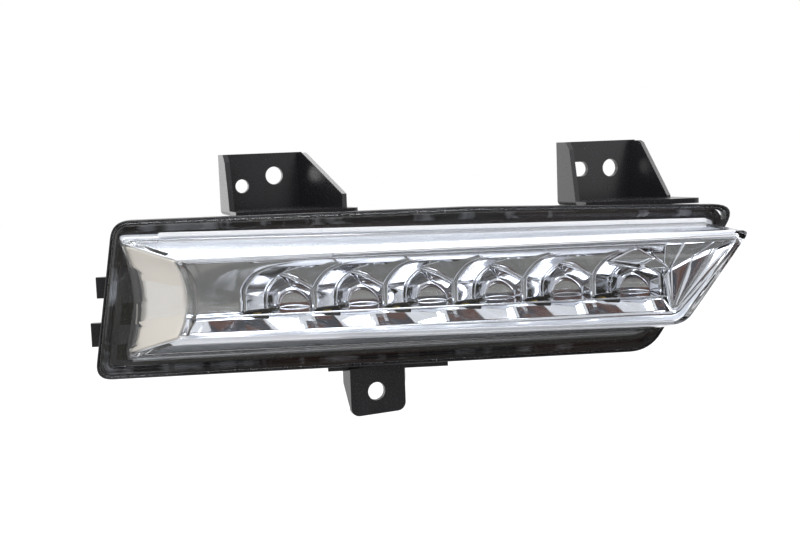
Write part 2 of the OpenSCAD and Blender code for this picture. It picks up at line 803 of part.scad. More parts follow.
// Electrolytic can on its plastic foot, with the rolled groove near its base
module capacitor(x) {
    color("#c5c9ce") lamp_frame() translate([x, parts_y, board_top]) {
        translate([-4.3, -4.3, 0]) cube([8.6, 8.6, 1]);
        translate([0, 0, 0.8]) rotate_extrude() polygon([
            [0, 0], [4, 0], [4, 1], [3.7, 1.4], [3.7, 1.8], [4, 2.2], [4, 8.8], [3.6, 9.2], [0, 9.2]
        ]);
    }
}

module diode() {
    color("#202225") lamp_frame() translate([diode_x, parts_y, board_top]) {
        translate([-2.2, -1.3, 0.1]) cube([4.4, 2.6, 2.1]);
        for (side = [-1, 1]) translate([side * 2.3 - 0.4, -0.7, 0]) cube([0.8, 1.4, 1.2]);
    }
}

// Blade from the board's pad through the housing's wall into the socket, pointed at its free end
module terminal(i) {
    point = 1.5;
    tip = socket_floor + blade_reach;
    color("#c9b26a") lamp_frame() socket_frame() translate([i * blade_pitch, 0, -blade_t / 2])
        linear_extrude(blade_t) polygon([
            [-blade_w / 2, -blade_tail], [blade_w / 2, -blade_tail], [blade_w / 2, tip - point],
            [blade_w / 4, tip], [-blade_w / 4, tip], [-blade_w / 2, tip - point]
        ]);
}

module vent_membrane() {
    low = housing_depth + vent_h - 0.4;
    color("#e8e8e4") lamp_frame() along(vent[0], vent[1], membrane_d, low, low + membrane_t);
}

// Cap pressed over the vent's boss, with four slots in its skirt
module vent_cap() {
    seat = housing_depth + vent_h;
    color("#26282b") lamp_frame() difference() {
        along(vent[0], vent[1], vent_d + 3, housing_depth + 0.4, seat + 2.1);
        difference() {
            along(vent[0], vent[1], vent_d + 2 * fit_gap, housing_depth - past, seat + 0.6);
            // Pads that rest on the boss
            for (turn = [45:90:315])
                translate([vent[0], 0, vent[1]]) rotate([0, turn, 0])
                    block([5.2, seat, -1], [vent_d / 2 + past, seat + 0.7, 1]);
        }
        for (turn = [0, 90])
            translate([vent[0], 0, vent[1]]) rotate([0, turn, 0])
                block([-vent_d, housing_depth - past, -1.2], [vent_d, housing_depth + 1.8, 1.2]);
    }
}

housing();
lens();
lens_seal();
reflector();
end_bezel();
led_board();
for (i = [0:cells - 1]) led(i);
thermal_pad();
heat_sink();
board_screws();
reflector_screws();
driver_chip();
coil();
capacitor(capacitor_x);  // capacitor_1
capacitor(capacitor_x + capacitor_pitch);  // capacitor_2
diode();
terminal(-1);  // terminal_1
terminal(0);  // terminal_2
terminal(1);  // terminal_3
vent_membrane();
vent_cap();
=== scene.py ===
import math
import bmesh
import bpy
import numpy as np
from mathutils import Matrix, Vector


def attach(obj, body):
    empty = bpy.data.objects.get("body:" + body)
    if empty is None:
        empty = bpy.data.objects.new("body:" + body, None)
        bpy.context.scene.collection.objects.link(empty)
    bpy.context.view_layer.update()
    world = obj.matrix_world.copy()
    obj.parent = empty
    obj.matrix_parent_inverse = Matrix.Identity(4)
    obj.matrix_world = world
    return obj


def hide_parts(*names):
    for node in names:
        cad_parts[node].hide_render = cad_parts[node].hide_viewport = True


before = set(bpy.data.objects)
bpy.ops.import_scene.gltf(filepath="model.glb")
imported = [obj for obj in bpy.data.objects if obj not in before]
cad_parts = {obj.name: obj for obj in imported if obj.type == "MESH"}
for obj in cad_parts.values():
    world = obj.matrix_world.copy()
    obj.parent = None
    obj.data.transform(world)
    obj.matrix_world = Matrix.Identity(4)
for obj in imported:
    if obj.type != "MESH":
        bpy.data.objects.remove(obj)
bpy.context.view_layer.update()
print("frame loaded:", len(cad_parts), "parts")


# Small helpers

def linear(hexColour):
    # sRGB hex value to the linear colour that a shader socket takes
    values = [int(hexColour[i:i + 2], 16) / 255 for i in (1, 3, 5)]
    return tuple(v / 12.92 if v <= 0.04045 else ((v + 0.055) / 1.055) ** 2.4 for v in values) + (1.0,)


def addNode(tree, kind, settings=None, links=None):
    # one shader node with its settings, sockets and what feeds them
    node = tree.nodes.new(kind)
    for name, value in (settings or {}).items():
        if isinstance(name, int) or name in node.inputs:
            node.inputs[name].default_value = value
        else:
            setattr(node, name, value)
    for name, source in (links or {}).items():
        tree.links.new(source, node.inputs[name])
    return node


def newMaterial(name):
    material = bpy.data.materials.new(name)
    material.use_nodes = True
    material.node_tree.nodes.clear()
    return material, material.node_tree


def finishMaterial(tree, shader):
    addNode(tree, "ShaderNodeOutputMaterial", links={"Surface": shader})


# Materials. Object coordinates are in metres, so a noise's scale is 1000 over the size of its spots in mm

def mouldedBlackPolypropylene():
    # Black polypropylene, injection moulded in a spark-eroded tool: a fine dull grain under a satin sheen.
    # The grain is drawn at 0.7 mm, coarser than the real one, so that it shows.
    material, tree = newMaterial("mouldedBlackPolypropylene")
    place = addNode(tree, "ShaderNodeTexCoord").outputs["Object"]
    grain = addNode(tree, "ShaderNodeTexNoise", {"Scale": 1000 / 0.7, "Detail": 3.0}, {"Vector": place})
    flow = addNode(tree, "ShaderNodeTexNoise", {"Scale": 1000 / 22, "Detail": 2.0, "Distortion": 1.2},
                   {"Vector": place})
    tint = addNode(tree, "ShaderNodeMix", {"data_type": "RGBA", 6: linear("#19191c"), 7: linear("#232326")},
                   {0: flow.outputs["Fac"]})
    rough = addNode(tree, "ShaderNodeMapRange",
                    {"From Min": 0.3, "From Max": 0.7, "To Min": 0.2, "To Max": 0.3},
                    {"Value": grain.outputs["Fac"]})
    bump = addNode(tree, "ShaderNodeBump", {"Strength": 0.1, "Distance": 0.00004},
                   {"Height": grain.outputs["Fac"]})
    shader = addNode(tree, "ShaderNodeBsdfPrincipled", {"IOR": 1.49},
                     {"Base Color": tint.outputs[2], "Roughness": rough.outputs["Result"],
                      "Normal": bump.outputs["Normal"]})
    finishMaterial(tree, shader.outputs["BSDF"])
    return material


def clearPolycarbonate():
    # Polycarbonate moulded in a polished tool: clear, with crisp reflections and a moulding's faint ripple.
    # Shadow rays pass it, so the studio's light reaches the reflector behind it.
    material, tree = newMaterial("clearPolycarbonate")
    place = addNode(tree, "ShaderNodeTexCoord").outputs["Object"]
    ripple = addNode(tree, "ShaderNodeTexNoise", {"Scale": 1000 / 30, "Detail": 1.0}, {"Vector": place})
    bump = addNode(tree, "ShaderNodeBump", {"Strength": 0.03, "Distance": 0.0003},
                   {"Height": ripple.outputs["Fac"]})
    glass = addNode(tree, "ShaderNodeBsdfPrincipled",
                    {"Base Color": linear("#f6f8fb"), "IOR": 1.585, "Roughness": 0.02,
                     "Transmission Weight": 1.0},
                    {"Normal": bump.outputs["Normal"]})
    through = addNode(tree, "ShaderNodeBsdfTransparent", {"Color": linear("#eef1f5")})
    path = addNode(tree, "ShaderNodeLightPath")
    both = addNode(tree, "ShaderNodeMixShader", links={0: path.outputs["Is Shadow Ray"]})
    tree.links.new(glass.outputs["BSDF"], both.inputs[1])
    tree.links.new(through.outputs["BSDF"], both.inputs[2])
    finishMaterial(tree, both.outputs["Shader"])
    return material


def paintedHighlightPolycarbonate():
    # Polycarbonate drawn near-white and rough: painted highlight for the strip's bright line by the clear
    # lens
    material, tree = newMaterial("paintedHighlightPolycarbonate")
    place = addNode(tree, "ShaderNodeTexCoord").outputs["Object"]
    grit = addNode(tree, "ShaderNodeTexNoise", {"Scale": 1000 / 2, "Detail": 2.0}, {"Vector": place})
    tint = addNode(tree, "ShaderNodeMix", {"data_type": "RGBA", 6: linear("#f1f2f6"), 7: linear("#fbfbfd")},
                   {0: grit.outputs["Fac"]})
    shader = addNode(tree, "ShaderNodeBsdfPrincipled",
                     {"Roughness": 0.35, "IOR": 1.585, "Transmission Weight": 0.15},
                     {"Base Color": tint.outputs[2]})
    finishMaterial(tree, shader.outputs["BSDF"])
    return material


def metallisedChrome():
    # Aluminium steamed on lacquered polycarbonate: a bright mirror with the faint waves of the moulding
    material, tree = newMaterial("metallisedChrome")
    place = addNode(tree, "ShaderNodeTexCoord").outputs["Object"]
    wave = addNode(tree, "ShaderNodeTexNoise", {"Scale": 1000 / 12, "Detail": 2.0}, {"Vector": place})
    haze = addNode(tree, "ShaderNodeMapRange",
                   {"From Min": 0.3, "From Max": 0.75, "To Min": 0.03, "To Max": 0.12},
                   {"Value": wave.outputs["Fac"]})
    bump = addNode(tree, "ShaderNodeBump", {"Strength": 0.12, "Distance": 0.0003},
                   {"Height": wave.outputs["Fac"]})
    shader = addNode(tree, "ShaderNodeBsdfPrincipled", {"Base Color": linear("#f0f1f4"), "Metallic": 1.0},
                     {"Roughness": haze.outputs["Result"], "Normal": bump.outputs["Normal"]})
    finishMaterial(tree, shader.outputs["BSDF"])
    return material


def polishedEdgePaintedHighlight():
    # Aluminium steamed on a polished bead, drawn nearly white and part diffuse: painted highlight on the bead
    material, tree = newMaterial("polishedEdgePaintedHighlight")
    place = addNode(tree, "ShaderNodeTexCoord").outputs["Object"]
    grain = addNode(tree, "ShaderNodeTexNoise", {"Scale": 1000 / 4, "Detail": 2.0}, {"Vector": place})
    tint = addNode(tree, "ShaderNodeMix", {"data_type": "RGBA", 6: linear("#e6e8ec"), 7: linear("#f4f5f8")},
                   {0: grain.outputs["Fac"]})
    shader = addNode(tree, "ShaderNodeBsdfPrincipled", {"Metallic": 0.7, "Roughness": 0.22},
                     {"Base Color": tint.outputs[2]})
    finishMaterial(tree, shader.outputs["BSDF"])
    return material


def satinMetallising():
    # Aluminium steamed on a finely eroded moulding: the same metal turned to a soft, faintly warm satin.
    # The grit is drawn at 0.5 mm, coarser than the real one, so that it shows.
    material, tree = newMaterial("satinMetallising")
    place = addNode(tree, "ShaderNodeTexCoord").outputs["Object"]
    grit = addNode(tree, "ShaderNodeTexNoise", {"Scale": 1000 / 0.5, "Detail": 2.0}, {"Vector": place})
    cloud = addNode(tree, "ShaderNodeTexNoise", {"Scale": 1000 / 30, "Detail": 1.0}, {"Vector": place})
    tint = addNode(tree, "ShaderNodeMix", {"data_type": "RGBA", 6: linear("#e3dbcf"), 7: linear("#ece6dc")},
                   {0: cloud.outputs["Fac"]})
    bump = addNode(tree, "ShaderNodeBump", {"Strength": 0.2, "Distance": 0.00003},
                   {"Height": grit.outputs["Fac"]})
    shader = addNode(tree, "ShaderNodeBsdfPrincipled", {"Metallic": 0.7, "Roughness": 0.36},
                     {"Base Color": tint.outputs[2], "Normal": bump.outputs["Normal"]})
    finishMaterial(tree, shader.outputs["BSDF"])
    return material


def plainFinish(name, base, other, metallic, rough, spotMm):
    # A named finish from two close tones over a noise of a real grain size, with a relief of 0.01 mm
    material, tree = newMaterial(name)
    place = addNode(tree, "ShaderNodeTexCoord").outputs["Object"]
    grain = addNode(tree, "ShaderNodeTexNoise", {"Scale": 1000 / spotMm, "Detail": 3.0}, {"Vector": place})
    tint = addNode(tree, "ShaderNodeMix", {"data_type": "RGBA", 6: linear(base), 7: linear(other)},
                   {0: grain.outputs["Fac"]})
    bump = addNode(tree, "ShaderNodeBump", {"Strength": 0.3, "Distance": 0.00001},
                   {"Height": grain.outputs["Fac"]})
    shader = addNode(tree, "ShaderNodeBsdfPrincipled", {"Metallic": metallic, "Roughness": rough},
                     {"Base Color": tint.outputs[2], "Normal": bump.outputs["Normal"]})
    finishMaterial(tree, shader.outputs["BSDF"])
    return material


def glueBead():
    # Black polyurethane, laid as a bead and pressed on by the lens: wetted stretches look black, and trapped
    # air leaves pale smears
    material, tree = newMaterial("polyurethaneGlue")
    place = addNode(tree, "ShaderNodeTexCoord").outputs["Object"]
    smear = addNode(tree, "ShaderNodeTexNoise", {"Scale": 1000 / 16, "Detail": 3.0, "Distortion": 0.8},
                    {"Vector": place})
    share = addNode(tree, "ShaderNodeMapRange", {"From Min": 0.5, "From Max": 0.64},
                    {"Value": smear.outputs["Fac"]})
    tint = addNode(tree, "ShaderNodeMix", {"data_type": "RGBA", 6: linear("#141416"), 7: linear("#b9bcc2")},
                   {0: share.outputs["Result"]})
    shader = addNode(tree, "ShaderNodeBsdfPrincipled", {"Roughness": 0.35}, {"Base Color": tint.outputs[2]})
    finishMaterial(tree, shader.outputs["BSDF"])
    return material


blackPlastic = mouldedBlackPolypropylene()
clearPlastic = clearPolycarbonate()
# near-white finish of the strip on the upper flange: painted highlight
paintedHighlightWhite = paintedHighlightPolycarbonate()
chrome = metallisedChrome()
paintedHighlightBead = polishedEdgePaintedHighlight()
satin = satinMetallising()
# aluminium steamed on a matt moulding, drawn nearly white and part diffuse as a painted highlight
paintedHighlightSatin = plainFinish("satinAluminiumPaintedHighlight", "#eceef3", "#f7f8fb", 0.45, 0.3, 3.0)
# near-black matt silicone for the wells under the LED windows: painted shade in the recesses
paintedShadeWell = plainFinish("mattBlackPaintedShade", "#0b0b0c", "#121214", 0.0, 0.7, 0.6)

# what each carried-over part is made of; the notes say what the eye gets
finishes = {
    "housing": blackPlastic,
    "lens": clearPlastic,
    "lens_seal": glueBead(),
    "reflector": chrome,
    "end_bezel": satin,
    # printed lacquer: a flat black board
    "led_board": plainFinish("mattBlackSolderMask", "#141517", "#1c1d20", 0.0, 0.45, 1.0),
    # filled silicone, cut from sheet: dull pale blue
    "thermal_pad": plainFinish("siliconeThermalPad", "#8fa9b8", "#86a0ae", 0.0, 0.7, 0.8),
    # aluminium, extruded and sawn: soft grey metal
    "heat_sink": plainFinish("extrudedAluminium", "#b9bcc0", "#a9acb0", 1.0, 0.38, 0.4),
    # steel, rolled and zinc plated: cool bright metal
    "board_screws": plainFinish("zincPlatedSteel", "#b4b7ba", "#9c9fa3", 1.0, 0.32, 0.5),
    "reflector_screws": plainFinish("zincPlatedSteelScrew", "#b4b7ba", "#9c9fa3", 1.0, 0.32, 0.5),
    # filled epoxy, moulded: matt charcoal
    "driver_chip": plainFinish("mouldedEpoxy", "#1f2023", "#2a2b2e", 0.0, 0.55, 0.3),
    "diode": plainFinish("mouldedEpoxyBody", "#1f2023", "#2a2b2e", 0.0, 0.55, 0.3),
    # iron oxide, pressed and fired: dull brown-grey
    "coil": plainFinish("sinteredFerrite", "#4a4440", "#3c3835", 0.0, 0.6, 0.4),
    # aluminium, deep drawn: smooth silver
    "capacitor_1": plainFinish("drawnAluminiumCan", "#c5c9ce", "#b3b7bc", 1.0, 0.28, 0.6),
    "capacitor_2": plainFinish("drawnAluminiumSleeve", "#c5c9ce", "#b3b7bc", 1.0, 0.28, 0.6),
    # stretched fluoropolymer: chalky white
    "vent_membrane": plainFinish("porousFluoropolymer", "#e8e8e4", "#dcdcd7", 0.0, 0.8, 0.2),
    # nylon, moulded: satin black
    "vent_cap": plainFinish("mouldedBlackNylon", "#222327", "#2c2d31", 0.0, 0.45, 0.5),
}
for i in range(1, 7):
    # silicone filled with phosphor, cast: warm yellow
    finishes[f"led_{i}"] = plainFinish(f"phosphorSilicone{i}", "#f2cf5a", "#eac24a", 0.0, 0.4, 0.3)
for i in range(1, 4):
    # brass, stamped and tinned: pale gold metal
    finishes[f"terminal_{i}"] = plainFinish(f"tinnedBrass{i}", "#cfc4a0", "#bcae84", 1.0, 0.3, 0.5)
for name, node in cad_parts.items():
    for slot in node.material_slots:
        slot.material = finishes[name]
print("finishes given:", len(finishes))


# Shape code that the new pieces share. The lamp's own frame is in mm: X towards the point, Y backwards from
# the flange's front face, Z up

lamp = {
    "sweep": 18.0,           # degrees about the vertical axis
    "standOff": 38.8,        # from the brackets' screw faces forward to the flange's front face
    # corners in X and Z, anticlockwise from the lower left one, and their radii
    "flange": [(-83.3, -88.6), (173.0, -87.6), (216.0, -20.5), (-71.5, -16.6)], "flangeRadii": [8, 10, 12, 8],
    # the flange's upper side falls from topBend over topSpan by topFall
    "topBend": 90.0, "topSpan": 126.0, "topFall": 3.9,
    "base": [(-69.0, -79.4), (170.5, -78.4), (203.0, -28.5), (-69.0, -24.8)], "baseRadii": [3, 7, 5, 3],
    "front": [(-40.7, -69.1), (183.2, -72.1), (213.7, -31.0), (-40.7, -32.2)], "frontRadii": [2, 6, 4.5, 2],
    "boxHeight": 22.0, "endBulge": 4.7,
    "sideSteps": (70, 20, 70, 28), "arcSteps": 7,        # points on each side and in each corner
}
# an outline's points run along the lower, right, upper and left side, each followed by its corner
upperEnd = sum(lamp["sideSteps"][:3]) + 2 * lamp["arcSteps"]
ringSize = sum(lamp["sideSteps"]) + 4 * lamp["arcSteps"]
leftColumns = np.r_[upperEnd - 2:ringSize, 0:2]      # the left side with its corners and a little more
openColumns = slice(0, upperEnd + 4)                 # all but the left side


def fromLamp(points):
    # lamp frame in mm to the part's frame in m: moved forward by the stand-off, then turned by the sweep
    points = np.asarray(points, float)
    sweep = math.radians(lamp["sweep"])
    x, y, z = points[..., 0], points[..., 1] - lamp["standOff"], points[..., 2]
    turned = [x * math.cos(sweep) + y * math.sin(sweep), y * math.cos(sweep) - x * math.sin(sweep), z]
    return np.stack(turned, -1) / 1000


def inwardShift(corners):
    # shift of each corner that moves both of its edges in by one unit, for an anticlockwise outline
    ahead = np.roll(corners, -1, 0) - corners
    ahead /= np.linalg.norm(ahead, axis=1)[:, None]
    inward = np.stack([-ahead[:, 1], ahead[:, 0]], 1)
    before = np.roll(inward, 1, 0)
    return (before + inward) / (1 + (before * inward).sum(1))[:, None]


def outline(corners, radii, inset=0.0, bows=(0, 0, 0, 0)):
    # Closed outline in X and Z of the lamp: straight sides, each bowed inwards in its middle by a parabola,
    # joined by quadratic arcs that start a radius before each corner. Side i runs from corner i to i + 1.
    corners = np.asarray(corners, float)
    moved = corners + inset * inwardShift(corners)
    radii = np.maximum(np.asarray(radii, float) - inset, 0.6)
    following = np.roll(moved, -1, 0)
    along = following - moved
    length = np.linalg.norm(along, axis=1)
    along = along / length[:, None]
    inward = np.stack([-along[:, 1], along[:, 0]], 1)
    sides = []
    for i in range(4):
        startCut, endCut = radii[i] / length[i], radii[(i + 1) % 4] / length[i]
        t = np.linspace(startCut, 1 - endCut, lamp["sideSteps"][i])[:, None]
        sides.append(moved[i] + (following[i] - moved[i]) * t + inward[i] * 4 * t * (1 - t) * bows[i])
    ring = []
    for i in range(4):
        ring.append(sides[i])
        a, b, c = sides[i][-1], following[i], sides[(i + 1) % 4][0]
        t = np.linspace(0, 1, lamp["arcSteps"] + 2)[1:-1, None]
        ring.append((1 - t) ** 2 * a + 2 * t * (1 - t) * b + t ** 2 * c)
    return np.concatenate(ring)


def ringAt(flat, depth):
    # flat outline lifted to a depth of the lamp's frame
    return np.stack([flat[:, 0], np.full(len(flat), float(depth)), flat[:, 1]], 1)


def fillet(first, corner, last, steps):
    # rings between two rings along a quadratic arc that heads for a third one
    t = np.linspace(0, 1, steps + 2)[1:-1, None, None]
    return list((1 - t) ** 2 * first + 2 * t * (1 - t) * corner + t ** 2 * last)


def flangeRing(inset, depth):
    # Flange outline at a depth. Its upper side is level up to the bend and then falls evenly to the point:
    # the points of the upper half are moved from the straight side to that line.
    flat = outline(lamp["flange"], lamp["flangeRadii"], inset)
    right, left = lamp["flange"][2], lamp["flange"][3]
    straight = left[1] - (flat[:, 0] - left[0]) / (right[0] - left[0]) * lamp["topFall"]
    bent = left[1] - lamp["topFall"] * np.clip((flat[:, 0] - lamp["topBend"]) / lamp["topSpan"], 0, 1)
    flat[:, 1] += (bent - straight) * np.clip((flat[:, 1] + 50) / 20, 0, 1)
    return ringAt(flat, depth)


def boxRing(depth, inset=0.0, shape=None):
    # outline of the raised box with its concave end, set at depth, in the form that the box has at shape
    share = -(depth if shape is None else shape) / lamp["boxHeight"]
    corners = np.array(lamp["base"]) * (1 - share) + np.array(lamp["front"]) * share
    radii = np.array(lamp["baseRadii"]) * (1 - share) + np.array(lamp["frontRadii"]) * share
    return ringAt(outline(corners, radii, inset, (0, 0, 0, lamp["endBulge"])), depth)


def addPiece(name, parts, materials, smoothAngle, replaces=None, solid=0.0):
    # One new piece from grids in lamp mm. Each part is a grid with its settings: closed joins the rows' ends,
    # loop joins the last row to the first, capFirst and capLast close an end row with one flat face, slot
    # picks the material, and flip turns the faces round. Solid is the wall in mm of an open sheet.
    vertices, faces, slots, start = [], [], [], 0
    for points, settings in parts:
        rows, columns = points.shape[:2]
        index = np.arange(rows * columns).reshape(rows, columns) + start
        wide = np.hstack([index, index[:, :1]]) if settings.get("closed") else index
        if settings.get("loop"):
            wide = np.vstack([wide, wide[:1]])
        quads = np.stack([wide[:-1, :-1], wide[:-1, 1:], wide[1:, 1:], wide[1:, :-1]], -1).reshape(-1, 4)
        partFaces = quads.tolist()
        if settings.get("capFirst"):
            partFaces.append(index[0, ::-1].tolist())
        if settings.get("capLast"):
            partFaces.append(index[-1].tolist())
        if settings.get("flip"):
            partFaces = [face[::-1] for face in partFaces]
        vertices.append(points.reshape(-1, 3))
        faces += partFaces
        slots += [settings.get("slot", 0)] * len(partFaces)
        start += rows * columns
    mesh = bpy.data.meshes.new(name)
    mesh.from_pydata(fromLamp(np.concatenate(vertices)).tolist(), [], faces)
    for material in materials:
        mesh.materials.append(material)
    mesh.polygons.foreach_set("material_index", slots)
    mesh.polygons.foreach_set("use_smooth", [True] * len(faces))
    if not solid:
        form = bmesh.new()
        form.from_mesh(mesh)
        bmesh.ops.recalc_face_normals(form, faces=form.faces)
        form.to_mesh(mesh)
        form.free()
    mesh.set_sharp_from_angle(angle=math.radians(smoothAngle))
    piece = bpy.data.objects.new(name, mesh)
    bpy.context.scene.collection.objects.link(piece)
    if solid:
        wall = piece.modifiers.new("wall", "SOLIDIFY")
        wall.thickness, wall.offset, wall.use_even_offset = solid / 1000, -1.0, False
    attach(piece, "root")
    if replaces:
        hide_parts(*replaces)


# The moulded lens

lens = {
    "wall": 1.6, "flangeBack": 3.0, "edgeRound": 1.1, "footRound": 1.2,
    "lipWidth": 2.2, "lipHeight": 0.35,          # raised border of the front face
    "tongue": (3.0, 5.0), "tongueBack": 8.0,     # tongue in the glue groove: insets from the edge, depth
    "rib": ((4.4, 0.0), (3.8, -0.25), (2.9, -0.25), (2.5, 0.0)),     # low rib on the flange: inset and depth
}
strip = {
    "start": (-51.0, -22.6), "end": (200.0, -26.3), "width": 2.0, "height": 1.25, "bevel": 0.25,
    "pips": (0.29, 0.57, 0.85),                  # shares of its length
    "pipRings": ((0.8, -1.2), (0.78, -1.45), (0.6, -1.6), (0.3, -1.65)),     # radius and depth
}


def paintedHighlightStrip():
    # the straight strip along the upper flange, a bevelled section carried along a line, and its three pips
    start, end = np.array(strip["start"]), np.array(strip["end"])
    width, top, bevel = strip["width"], -strip["height"], strip["bevel"]
    along = (end - start) / np.linalg.norm(end - start)
    down = np.array([along[1], -along[0]])
    section = np.array([[0.0, 0.2], [0.0, top + bevel], [bevel, top],
                        [width - bevel, top], [width, top + bevel], [width, 0.2]])
    rings = []
    for cut in np.concatenate([[0.0, 0.004], np.linspace(0.02, 0.98, 30), [0.996, 1.0]]):
        inset = bevel if cut in (0.0, 1.0) else 0.0
        flat = start + (end - start) * cut + np.outer(np.clip(section[:, 0], inset, width - inset), down)
        rings.append(np.stack([flat[:, 0], section[:, 1] + inset * (section[:, 1] < 0), flat[:, 1]], 1))
    # slot 1, the strip's near-white finish, is a painted highlight
    parts = [(np.stack(rings), {"closed": True, "capFirst": True, "capLast": True, "slot": 1})]
    turn = np.linspace(0, 2 * np.pi, 16, endpoint=False)
    for share in strip["pips"]:
        x, z = start + (end - start) * share + down
        pip = [np.stack([x + radius * np.cos(turn), np.full(16, y), z + radius * np.sin(turn)], 1)
               for radius, y in strip["pipRings"]]
        parts.append((np.stack(pip), {"closed": True, "capFirst": True, "capLast": True}))
    return parts


def clearLens():
    # Rings run from the front face's middle out over its rounded edge, down the drafted walls, through a
    # fillet to the flange, round its rolled edge, back under it with the glue tongue, and up inside the walls
    # to a cap with a flat border
    high, wall, back = -lamp["boxHeight"], lens["wall"], lens["flangeBack"]
    sunk, lip = high + lens["lipHeight"], lens["lipWidth"]
    rings = [boxRing(sunk, 4.0, high), boxRing(sunk, lip + 0.5, high)]
    rings += fillet(boxRing(sunk, lip + 0.4, high), boxRing(high, lip, high),
                    boxRing(high, lip - 0.6, high), 2)
    rings += [boxRing(high, 1.5, high)]
    rounding = lens["edgeRound"]
    edge = [boxRing(high, rounding, high), boxRing(high, 0.0, high), boxRing(high + rounding)]
    rings += [edge[0]] + fillet(*edge, 4) + [edge[2]]
    rings += [boxRing(depth) for depth in (-16.0, -11.0, -6.0)]
    foot = [boxRing(-lens["footRound"]), boxRing(0.0), boxRing(0.0, -lens["footRound"])]
    rings += [foot[0]] + fillet(*foot, 3) + [foot[2]]
    rings += [flangeRing(inset, depth) for inset, depth in lens["rib"]]
    edge = [flangeRing(1.9, 0.0), flangeRing(1.1, 0.0), flangeRing(1.1, 0.8)]
    rings += [edge[0]] + fillet(*edge, 3) + [edge[2]]
    rings += [flangeRing(1.1, back - 0.3), flangeRing(1.4, back)]
    (outer, inner), deep = lens["tongue"], lens["tongueBack"]
    rings += [flangeRing(outer, back), flangeRing(outer, deep - 0.1), flangeRing(outer + 0.3, deep),
              flangeRing(inner - 0.3, deep), flangeRing(inner, deep - 0.1), flangeRing(inner, back)]
    rings += [boxRing(back, wall - 0.6, 0.0), boxRing(back - 0.6, wall, 0.0)]
    rings += [boxRing(depth, wall) for depth in (-1.0, -6.0, -11.0, -16.0, high + wall + 0.8)]
    rings += [boxRing(high + wall, wall + inset, high + wall) for inset in (0.8, 2.2)]
    parts = [(np.stack(rings), {"closed": True, "capFirst": True, "capLast": True})]
    addPiece("clearLens", parts + paintedHighlightStrip(), [clearPlastic, paintedHighlightWhite], 38, replaces=["lens"])


clearLens()
print("lens built")


# Black lip round the lens's edge, and the satin cover of its sloping end

rim = {
    "width": 1.05, "ledge": 2.4,                                # insets from the flange's edge
    "crown": 0.1, "shoulder": 0.9, "back": 6.5,                 # depths
}
endCover = {
    "clearance": 3.15, "front": -17.6, "back": 2.5, "thickness": 0.9,
    "lip": ((0.4, 3.3), (0.6, 3.8)),                            # steps forward of the front edge, and insets
    "notches": [(-54.5, -38.5, -2.2), (-75.0, -64.5, -1.2)],    # lower and upper Z, depth of the cut edge
}


def rimLip():
    # A rounded bead on the housing's rim: a half-round section carried round the flange's outline
    width, crown, shoulder = rim["width"], rim["crown"], rim["shoulder"]
    middle = flangeRing(0.55, crown)
    rings = [flangeRing(0.25, rim["back"]), flangeRing(0.05, 5.5)]
    rings += [flangeRing(0.0, 3.0), flangeRing(0.0, shoulder)]
    rings += fillet(flangeRing(0.0, shoulder), flangeRing(0.0, crown), middle, 4)
    rings += fillet(middle, flangeRing(width, crown), flangeRing(width, shoulder), 4)
    rings += [flangeRing(width, shoulder), flangeRing(width, 3.2)]
    rings += [flangeRing(rim["ledge"], 3.25), flangeRing(rim["ledge"], rim["back"])]
    addPiece("rimLip", [(np.stack(rings), {"closed": True, "loop": True})], [blackPlastic], 40)


def satinEndCover():
    # Columns follow the lens box's end at a clearance inside it, each from its own depth, later where a notch
    # clears a lug. Both ends turn on to the upper and lower wall, and two rings bend the front edge inwards.
    high, front = -lamp["boxHeight"], endCover["front"]
    foot, crest = (boxRing(depth, endCover["clearance"], depth)[leftColumns] for depth in (0.0, high))
    start = np.full(len(leftColumns), endCover["back"])
    for lower, upper, depth in endCover["notches"]:
        start[(foot[:, 2] > lower) & (foot[:, 2] < upper)] = depth
    rows = []
    for share in np.linspace(0, 1, 18):
        depth = start + (front - start) * share
        along = np.clip(depth, high, 0)[:, None] / high
        row = foot * (1 - along) + crest * along
        row[:, 1] = depth
        rows.append(row)
    for step, inset in endCover["lip"]:
        rows.append(boxRing(front - step, inset, front - step)[leftColumns])
    addPiece("satinEndCover", [(np.stack(rows), {"flip": True})], [satin], 50,
             replaces=["end_bezel"], solid=endCover["thickness"])


rimLip()
satinEndCover()
print("rim and end cover built")


# The metallised reflector

